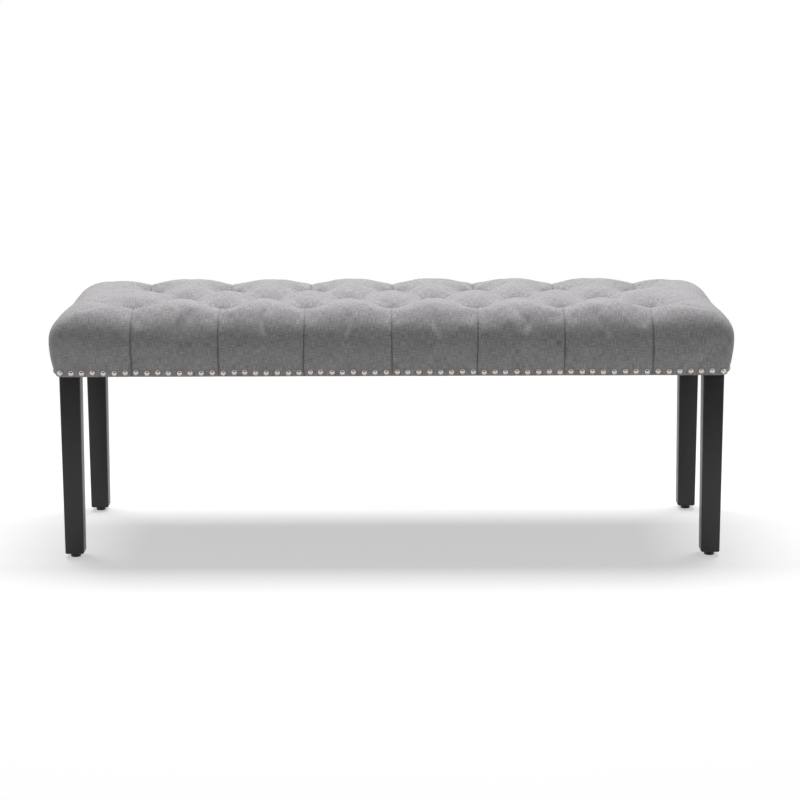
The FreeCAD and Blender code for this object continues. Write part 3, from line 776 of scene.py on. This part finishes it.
# The cloth is blown out from inside, held at its tufts, along its pleats and below
def inflate(obj, held):
    before = placesOf(obj)
    group = obj.vertex_groups.new(name="held")
    for weight in (filling["fixed"], filling["firm"], filling["loose"]):
        ids = np.nonzero(np.isclose(held, weight))[0]
        group.add([int(i) for i in ids], weight, "REPLACE")
    cloth = obj.modifiers.new("filling", "CLOTH")
    settings = cloth.settings
    for key, value in filling["cloth"].items():
        setattr(settings, key, value)
    settings.effector_weights.gravity = 0
    settings.vertex_group_mass = "held"
    cloth.point_cache.frame_start = 1
    cloth.point_cache.frame_end = filling["frames"]
    for frameNumber in range(1, filling["frames"] + 1):
        scene.frame_set(frameNumber)
    makeActive(obj)
    bpy.ops.object.modifier_apply(modifier=cloth.name)
    scene.frame_set(1)
    move = placesOf(obj) - before
    size = np.linalg.norm(move, axis=1)
    scale = np.minimum(1, filling["mostMove"] / np.maximum(size, 1e-9))
    print("cloth moved up to", round(float(size.max()) * 1000, 1), "mm")
    setPlaces(obj, before + move * scale[:, None])


# Slow waves with no common period: how much the filling sinks, and how far the seams wander
def unevenAt(u, v):
    return (np.sin(u * 23 + 1.1) * np.cos(v * 31 + 0.4) + np.sin(u * 57 - v * 41 + 2.0) * 0.6
            + np.sin(u * 11.3 + v * 67) * 0.5) / 2.1


def driftAt(points):
    x, y, z = points[:, 0], points[:, 1], points[:, 2]
    drift = cushion["seamDrift"] * (np.sin(x * 15.5 + 1.3) + 0.5 * np.sin(x * 37 + y * 9))
    drift *= (np.clip((cushion["driftTop"] - z) / cushion["driftFade"], 0, 1)
              * (1 - np.clip(np.abs(x) / cushion["driftEnd"], 0, 1) ** 4))
    return drift


seat, points, quads, uvs, fold, toTuft = seatSurface(cushion["cells"])
closed = closeUnderside(seat, points, quads, uvs)
seatCover = meshFrom("tufted_seat_cover", closed, quads, uvs)
planAttribute = seatCover.data.attributes.new("plan", "FLOAT_VECTOR", "POINT")
planAll = np.full((len(closed), 3), 0.0, np.float32)
planAll[:, 2] = 1.0  # marks what has no fold
planAll[: len(seat.plan), :2] = seat.plan
planAll[: len(seat.plan), 2] = 0.0
planAttribute.data.foreach_set("vector", planAll.ravel())
held = np.ones(len(closed))
held[: len(fold)] = 0.0
held[: len(fold)][fold > filling["looseFold"]] = filling["loose"]
held[: len(fold)][fold > filling["firmFold"]] = filling["firm"]
held[: len(fold)][toTuft < filling["tuftHold"]] = filling["fixed"]
held[seat.ringIds[-1]] = filling["fixed"]
held[seat.ringIds[-2]] = filling["fixed"]
held[seat.ringIds[-3]] = filling["firm"]
inflate(seatCover, held)
print("cloth simulated")

subdivision = seatCover.modifiers.new("finer", "SUBSURF")
subdivision.levels = subdivision.render_levels = 2
applyModifiers(seatCover)
points = placesOf(seatCover)
planAll = vectorsOf(seatCover.data.attributes["plan"].data, "vector")
normals = vectorsOf(seatCover.data.vertex_normals, "vector")
onCloth = np.clip(1 - planAll[:, 2], 0, 1)
u, v = planAll[:, 0], planAll[:, 1]
fold = cushionDepth(u, v)[1] * onCloth
toTuft = tuftDistance(planAll[:, :2])
fade = np.clip((toTuft - cushion["tuftClear"]) / cushion["tuftClear"], 0, 1)
lowEdge = np.clip((points[:, 2] - cushion["bottomZ"]) / cushion["lowEdgeFade"], 0, 1) * onCloth
sink = (cushion["foldDepth"] * fold * fade + wrinkle["depth"] * wrinkles(u, v)) * lowEdge
bowl = np.exp(-(toTuft / cushion["bowlReach"]) ** 2) * onCloth
sink += cushion["bowlDepth"] * bowl
sink += cushion["unevenness"] * (unevenAt(u, v) + cushion["unevenLift"]) * fade * lowEdge
points -= normals * sink[:, None]
points[:, 0] += driftAt(points) * lowEdge
points = holdTufts(points, np.where(planAll[:, 2] > 0, 1.0, toTuft))
setPlaces(seatCover, points)
seatCover.data.attributes.remove(seatCover.data.attributes["plan"])
# painted shade: the fold attribute darkens the cloth along the pleat folds and in the bowls round each
# tuft, where shadow falls
paintedShadeLayer = seatCover.data.attributes.new("fold", "FLOAT", "POINT")
paintedShadeAmount = np.maximum(np.clip(fold, 0, 1) * cushion["paintedFoldShade"], bowl * cushion["paintedBowlShade"])
paintedShadeLayer.data.foreach_set("value", paintedShadeAmount.astype(np.float32))
makeActive(seatCover)
ceilingZ = deckHigh.z + cushion["frameGap"]
editMode("FACE")
selectFaces(seatCover, lambda f: f.normal.z < -0.9 and abs(f.center.z - ceilingZ) < 0.001)
bpy.ops.mesh.dissolve_faces()
objectMode()
bpy.ops.object.shade_smooth()
finishPiece(seatCover, "root", "grey_linen", linenCover, "upholstery_cover", "foam_pad")
print("seat cover:", len(points), "vertices", len(seatCover.data.polygons), "faces")


def makeButton():
    deselectAll()
    bpy.ops.mesh.primitive_uv_sphere_add(
        segments=buttons["segments"], ring_count=buttons["rings"], radius=buttons["radius"])
    button = bpy.context.active_object
    editMode("VERT")
    cutAndFlatten(-buttons["rimDrop"], buttons["flatness"])
    objectMode()
    low = min(v.co.z for v in button.data.vertices)
    button.data.transform(Matrix.Translation((0, 0, -low)))
    layer = button.data.uv_layers.active or button.data.uv_layers.new()
    layer.name = "weave"
    for loopUv, loop in zip(layer.data, button.data.loops):
        place = button.data.vertices[loop.vertex_index].co
        loopUv.uv = (place.x, place.y)
    smoothByAngle(button, 50)
    return button


oneButton = makeButton()
for row, y in (("front", -rowY), ("middle", 0.0), ("back", rowY)):
    places = columnsMiddle if row == "middle" else columnsX
    copies = [copyOf(oneButton, Matrix.Translation((x, y, buttons["seatZ"]))) for x in places]
    rowPiece = joinAll(copies, "buttons_" + row)
    finishPiece(rowPiece, "root", "grey_linen", linenButton, "tuft_buttons_" + row + "_row")
bpy.data.objects.remove(oneButton)
print("buttons made")


nails = {
    "front": 62, "back": 62, "left": 19, "right": 19,
    "radius": 0.0055, "height": 0.0033, "shank": 0.009,
    "segments": 16, "rings": 10, "cut": 0.0005, "shankInset": 0.84, "shankTip": 0.2,
    "wander": 0.0007, "tilt": 3.0, "seed": 11, "sideInset": 0.004, "castFrom": 0.9,
}


def makeNail():
    deselectAll()
    bpy.ops.mesh.primitive_uv_sphere_add(
        segments=nails["segments"], ring_count=nails["rings"], radius=nails["radius"])
    nail = bpy.context.active_object
    editMode("VERT")
    cutAndFlatten(nails["cut"], nails["height"] / nails["radius"])
    bpy.ops.mesh.select_mode(type="FACE")
    selectFaces(nail, lambda f: f.normal.z < -0.9)
    bpy.ops.mesh.inset(thickness=nails["radius"] * nails["shankInset"])
    bpy.ops.mesh.extrude_region_move(TRANSFORM_OT_translate={"value": (0, 0, -nails["shank"])})
    tip = nails["shankTip"]
    bpy.ops.transform.resize(value=(tip, tip, 1), center_override=(0, 0, 0))
    objectMode()
    smoothByAngle(nail, 40)
    return nail


bpy.context.view_layer.update()
coverTree = BVHTree.FromObject(seatCover, bpy.context.evaluated_depsgraph_get())
oneNail = makeNail()
dice = random.Random(nails["seed"])
sidesOut = {"front": (0, -1, 0), "back": (0, 1, 0), "left": (-1, 0, 0), "right": (1, 0, 0)}
for side, out in sidesOut.items():
    low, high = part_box("nails_" + side)
    outward = Vector(out)
    axis = 0 if out[0] == 0 else 1
    inset = nails["radius"] + (nails["sideInset"] if axis == 1 else 0)
    first, last = low[axis] + inset, high[axis] - inset
    z = (low.z + high.z) / 2
    copies = []
    for i in range(nails[side]):
        place = first + (last - first) * i / (nails[side] - 1) + dice.uniform(-1, 1) * nails["wander"]
        height = z + dice.uniform(-1, 1) * nails["wander"]
        origin = outward * nails["castFrom"]
        origin[axis] = place
        origin.z = height
        hit, normal, _, _ = coverTree.ray_cast(origin, -outward)
        tilt = Euler([math.radians(dice.uniform(-1, 1) * nails["tilt"]) for _ in range(3)])
        turn = Vector((0, 0, 1)).rotation_difference(normal)
        matrix = Matrix.Translation(hit) @ turn.to_matrix().to_4x4() @ tilt.to_matrix().to_4x4()
        copies.append(copyOf(oneNail, matrix))
    row = joinAll(copies, "nail_heads_" + side)
    finishPiece(row, "root", "bright_nickel", nickel, "nails_" + side)
bpy.data.objects.remove(oneNail)
print("nails made")


legs = {"edgeRound": 0.0007, "segments": 2, "weld": 0.00002, "flatWithin": 1.5, "edgeFrom": 28}
cornerNames = ("front_left", "front_right", "back_left", "back_right")
for corner in cornerNames:
    leg = bpy.data.objects.new("tapered_leg_" + corner, nodes["leg_" + corner].data.copy())
    scene.collection.objects.link(leg)
    makeActive(leg)
    editMode("VERT")
    bpy.ops.mesh.select_all(action="SELECT")
    bpy.ops.mesh.remove_doubles(threshold=legs["weld"])
    bpy.ops.mesh.dissolve_limited(angle_limit=math.radians(legs["flatWithin"]))
    objectMode()
    addBevel(leg, legs["edgeRound"], legs["segments"], legs["edgeFrom"])
    applyModifiers(leg)
    smoothByAngle(leg, 30)
    finishPiece(leg, "root", "black_satin_wood", satinBlack, "leg_" + corner)
print("legs made")


feet = {
    "padRadius": 0.009, "padEdge": 0.0011, "boreRadius": 0.0042, "boreFloor": 0.0016,
    "threadMajor": 0.0039, "threadMinor": 0.0033, "threadPitch": 0.00125, "turnSteps": 20,
    "crestFrom": 0.44, "crestTo": 0.56, "weld": 0.00001,
    "padSides": 40, "nutAcross": 0.0118, "nutGap": 0.0002, "nutRound": 0.0002,
}


def makePad(corner):
    low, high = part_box("foot_pad_" + corner)
    middle = (low + high) / 2
    deselectAll()
    bpy.ops.mesh.primitive_cylinder_add(
        vertices=feet["padSides"], radius=feet["padRadius"], depth=high.z - low.z, location=middle)
    pad = bpy.context.active_object
    pad.name = "glide_pad_" + corner
    bakePlace(pad)
    editMode("FACE")
    selectFaces(pad, lambda f: f.normal.z > 0.9)
    bpy.ops.mesh.inset(thickness=feet["padRadius"] - feet["boreRadius"])
    down = feet["boreFloor"] - high.z
    bpy.ops.mesh.extrude_region_move(TRANSFORM_OT_translate={"value": (0, 0, down)})
    objectMode()
    addBevel(pad, feet["padEdge"], 3, 50)
    applyModifiers(pad)
    smoothByAngle(pad, 40)
    return pad


def makeStud(corner):
    low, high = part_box("foot_stud_" + corner)
    x, y = (low.x + high.x) / 2, (low.y + high.y) / 2
    turns = int((high.z - low.z) / feet["threadPitch"]) - 1
    mesh = bpy.data.meshes.new("thread")
    p = feet["threadPitch"]
    minor, major = feet["threadMinor"], feet["threadMajor"]
    profile = [(minor, 0, 0), (major, 0, p * feet["crestFrom"]),
               (major, 0, p * feet["crestTo"]), (minor, 0, p)]
    mesh.from_pydata(profile, [(0, 1), (1, 2), (2, 3)], [])
    stud = bpy.data.objects.new("levelling_stud_" + corner, mesh)
    scene.collection.objects.link(stud)
    screw = stud.modifiers.new("thread", "SCREW")
    screw.angle = 2 * math.pi
    screw.screw_offset = p
    screw.iterations = turns
    screw.steps = feet["turnSteps"]
    screw.render_steps = feet["turnSteps"]
    screw.use_merge_vertices = True
    applyModifiers(stud)
    editMode("VERT")
    bpy.ops.mesh.select_all(action="SELECT")
    bpy.ops.mesh.remove_doubles(threshold=feet["weld"])
    bpy.ops.mesh.select_all(action="SELECT")
    bpy.ops.mesh.fill_holes(sides=0)
    bpy.ops.mesh.select_all(action="SELECT")
    bpy.ops.mesh.normals_make_consistent(inside=False)
    objectMode()
    heights = [v.co.z for v in stud.data.vertices]
    lift = low.z - min(heights)
    stud.data.transform(Matrix.Translation((x, y, lift)))
    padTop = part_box("foot_pad_" + corner)[1].z
    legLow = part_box("leg_" + corner)[0].z
    deselectAll()
    nutLow, nutHigh = padTop + feet["nutGap"], legLow - feet["nutGap"]
    bpy.ops.mesh.primitive_cylinder_add(
        vertices=6, radius=feet["nutAcross"] / math.sqrt(3), depth=nutHigh - nutLow,
        location=(x, y, (nutLow + nutHigh) / 2))
    nut = bpy.context.active_object
    bakePlace(nut)
    addBevel(nut, feet["nutRound"], 2)
    applyModifiers(nut)
    both = joinAll([stud, nut], "levelling_stud_" + corner)
    smoothByAngle(both, 30)
    return both


for corner in cornerNames:
    finishPiece(makePad(corner), "foot_pad_" + corner, "black_nylon", nylon, "foot_pad_" + corner)
    finishPiece(makeStud(corner), "foot_stud_" + corner, "zinc_steel", zinc, "foot_stud_" + corner)
print("feet made")


liningSheet = {
    "sag": 0.0035, "step": 0.012, "thickness": 0.0005, "edgeFlat": 0.016, "holdFade": 0.11,
    "legGap": 0.002, "dropShare": 0.2, "ripples": (0.0005, 0.0004),
}


def makeLining():
    low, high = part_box("dust_cover")
    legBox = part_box("leg_front_right")
    notchX = legBox[0].x - liningSheet["legGap"]
    notchY = -legBox[1].y - liningSheet["legGap"]

    def cuts(half, notch):
        innerCount = round(2 * notch / liningSheet["step"])
        outerCount = max(2, round((half - notch) / liningSheet["step"]))
        tail = list(np.linspace(notch, half, outerCount + 1)[1:])
        return [-t for t in reversed(tail)] + list(np.linspace(-notch, notch, innerCount + 1)) + tail

    xs, ys = cuts(high.x, notchX), cuts(high.y, notchY)
    gx, gy = np.meshgrid(xs, ys)
    edge = np.minimum(high.x - np.abs(gx), high.y - np.abs(gy))
    hold = np.clip((edge - liningSheet["edgeFlat"]) / liningSheet["holdFade"], 0, 1)
    hold = hold * hold * (3 - 2 * hold)
    wide, fine = liningSheet["ripples"]
    ripple = wide * np.sin(gx * 41) * np.cos(gy * 53) + fine * np.sin(gx * 97 + gy * 61)
    drop = liningSheet["thickness"] * liningSheet["dropShare"]
    gz = high.z - drop - hold * (liningSheet["sag"] + ripple)
    points = np.stack([gx, gy, gz], -1).reshape(-1, 3)
    index = np.arange(len(xs) * len(ys)).reshape(len(ys), len(xs))
    faces, uvs = [], []
    for j in range(len(ys) - 1):
        for i in range(len(xs) - 1):
            mx, my = abs(xs[i] + xs[i + 1]) / 2, abs(ys[j] + ys[j + 1]) / 2
            if mx > notchX and my > notchY:
                continue
            ids = [index[j, i], index[j + 1, i], index[j + 1, i + 1], index[j, i + 1]]
            faces.append(ids)
            uvs.append([points[k][:2] for k in ids])
    sheet = meshFrom("underside_lining", points, faces, uvs)
    makeActive(sheet)
    editMode("VERT")
    bpy.ops.mesh.select_all(action="SELECT")
    bpy.ops.mesh.delete_loose()
    objectMode()
    solid = sheet.modifiers.new("cloth", "SOLIDIFY")
    solid.thickness = liningSheet["thickness"]
    solid.offset = 1.0
    applyModifiers(sheet)
    bpy.ops.object.shade_smooth()
    smoothByAngle(sheet, 60)
    area = 4 * high.x * high.y - 4 * (high.x - notchX) * (high.y - notchY)
    return sheet, (2 * high.x, 2 * high.y), area


sheet, flatSize, flatArea = makeLining()
finishPiece(sheet, "root", "black_lining", lining, "dust_cover")
print("lining made")


for name in ("front_rail", "back_rail", "seat_deck"):
    setMaterial(nodes[name], frameTimber if "rail" in name else deckPly)
for name in ("left_end_rail", "right_end_rail", "left_cross_brace", "right_cross_brace"):
    setMaterial(nodes[name], braceTimber)
for corner in cornerNames:
    setMaterial(nodes["corner_block_" + corner], frameTimber)
for name in ("rail_screws", "brace_screws", "corner_block_screws", "deck_screws", "leg_bolts",
             "tuft_cord_staples", "dust_cover_staples"):
    setMaterial(nodes[name], zinc)
for name in ("leg_inserts", "foot_inserts"):
    setMaterial(nodes[name], brass)
setMaterial(nodes["tuft_cords"], twine)
print("nodes dressed")


studio = {
    "floorSize": 14.0, "worldLevel": 0.28, "keyPower": 150.0, "shadowShare": 0.5,
    "shadowFrom": 0.6, "shadowTo": 1.9, "cardPlace": (0.0, -5.6, 2.1), "cardSize": (9.0, 4.0),
    "keyPlace": (0.0, 0.75, 3.0), "keyAim": (0, 0.1, 0.4), "keySize": (3.4, 1.3),
}


def seenDirectly(tree):
    path = tree.nodes.new("ShaderNodeLightPath")
    seen = mathNode(tree, "ADD", path.outputs["Is Camera Ray"], path.outputs["Is Glossy Ray"])
    return mathNode(tree, "ADD", seen, path.outputs["Is Transmission Ray"], clamp=True)


def makeFloor():
    deselectAll()
    bpy.ops.mesh.primitive_plane_add(size=studio["floorSize"], location=(0, 0, 0))
    floor = bpy.context.active_object
    floor.name = "floor"
    material, tree, shader = newMaterial("paleFloor", roughness=0.9, colour=srgb(244, 244, 244))
    place = coordinates(tree, (1, 1, 1))
    tint = mixColour(tree, noiseAt(tree, place, 3.0), srgb(243, 243, 243), srgb(246, 246, 246))
    tree.links.new(tint, shader.inputs["Base Color"])
    white = addNode(tree, "ShaderNodeEmission", Strength=1.0)
    white.inputs["Color"].default_value = (1, 1, 1, 1)
    away = tree.nodes.new("ShaderNodeVectorMath")
    away.operation = "LENGTH"
    tree.links.new(place, away.inputs[0])
    spread = tree.nodes.new("ShaderNodeMapRange")
    spread.inputs["From Min"].default_value = studio["shadowFrom"]
    spread.inputs["From Max"].default_value = studio["shadowTo"]
    spread.inputs["To Min"].default_value = studio["shadowShare"]
    tree.links.new(away.outputs["Value"], spread.inputs["Value"])
    share = mathNode(tree, "MULTIPLY", spread.outputs[0], seenDirectly(tree))
    mix = tree.nodes.new("ShaderNodeMixShader")
    tree.links.new(share, mix.inputs[0])
    tree.links.new(shader.outputs[0], mix.inputs[1])
    tree.links.new(white.outputs[0], mix.inputs[2])
    tree.links.new(mix.outputs[0], tree.nodes["Material Output"].inputs["Surface"])
    setMaterial(floor, material)


def makeWorld():
    world = bpy.data.worlds.new("studio")
    scene.world = world
    world.use_nodes = True
    tree = world.node_tree
    background = tree.nodes["Background"]
    background.inputs["Color"].default_value = (1, 1, 1, 1)
    background.inputs["Strength"].default_value = studio["worldLevel"]
    white = tree.nodes.new("ShaderNodeBackground")
    white.inputs["Color"].default_value = (1, 1, 1, 1)
    white.inputs["Strength"].default_value = 1.0
    mix = tree.nodes.new("ShaderNodeMixShader")
    tree.links.new(seenDirectly(tree), mix.inputs[0])
    tree.links.new(background.outputs[0], mix.inputs[1])
    tree.links.new(white.outputs[0], mix.inputs[2])
    tree.links.new(mix.outputs[0], tree.nodes["World Output"].inputs["Surface"])


# A dark card behind the camera keeps the front soft and gives the nail heads their dark spot
def makeCard():
    deselectAll()
    bpy.ops.mesh.primitive_plane_add(size=1.0, location=studio["cardPlace"])
    card = bpy.context.active_object
    card.name = "dark_card"
    card.scale = (studio["cardSize"][0], studio["cardSize"][1], 1)
    card.rotation_euler = (math.radians(90), 0, 0)
    bakePlace(card)
    setMaterial(card, makeSpeckled("darkCard", srgb(40, 40, 41), srgb(52, 52, 53), 0.95, 6.0, 0.001))


def addLight(name, place, aim, size, power):
    data = bpy.data.lights.new(name, "AREA")
    data.shape = "RECTANGLE"
    data.size, data.size_y = size
    data.energy = power
    light = bpy.data.objects.new(name, data)
    light.location = place
    light.rotation_euler = (Vector(aim) - Vector(place)).to_track_quat("-Z", "Y").to_euler()
    scene.collection.objects.link(light)


camera = {
    "place": (0.0179, -3.8968, 1.0519), "pitchDown": 11.65, "turn": 0.054, "roll": -0.198,
    "lens": 97.37,
}


def makeCamera():
    data = bpy.data.cameras.new("camera")
    data.lens = camera["lens"]
    data.sensor_width = 36.0
    data.clip_end = 100
    view = bpy.data.objects.new("camera", data)
    scene.collection.objects.link(view)
    turn = (Matrix.Rotation(math.radians(camera["turn"]), 4, "Z")
            @ Matrix.Rotation(math.radians(90 - camera["pitchDown"]), 4, "X")
            @ Matrix.Rotation(math.radians(camera["roll"]), 4, "Z"))
    view.matrix_world = Matrix.Translation(camera["place"]) @ turn
    scene.camera = view


makeFloor()
makeWorld()
makeCard()
addLight("key", studio["keyPlace"], studio["keyAim"], studio["keySize"], studio["keyPower"])
makeCamera()
scene.view_settings.view_transform = "Standard"
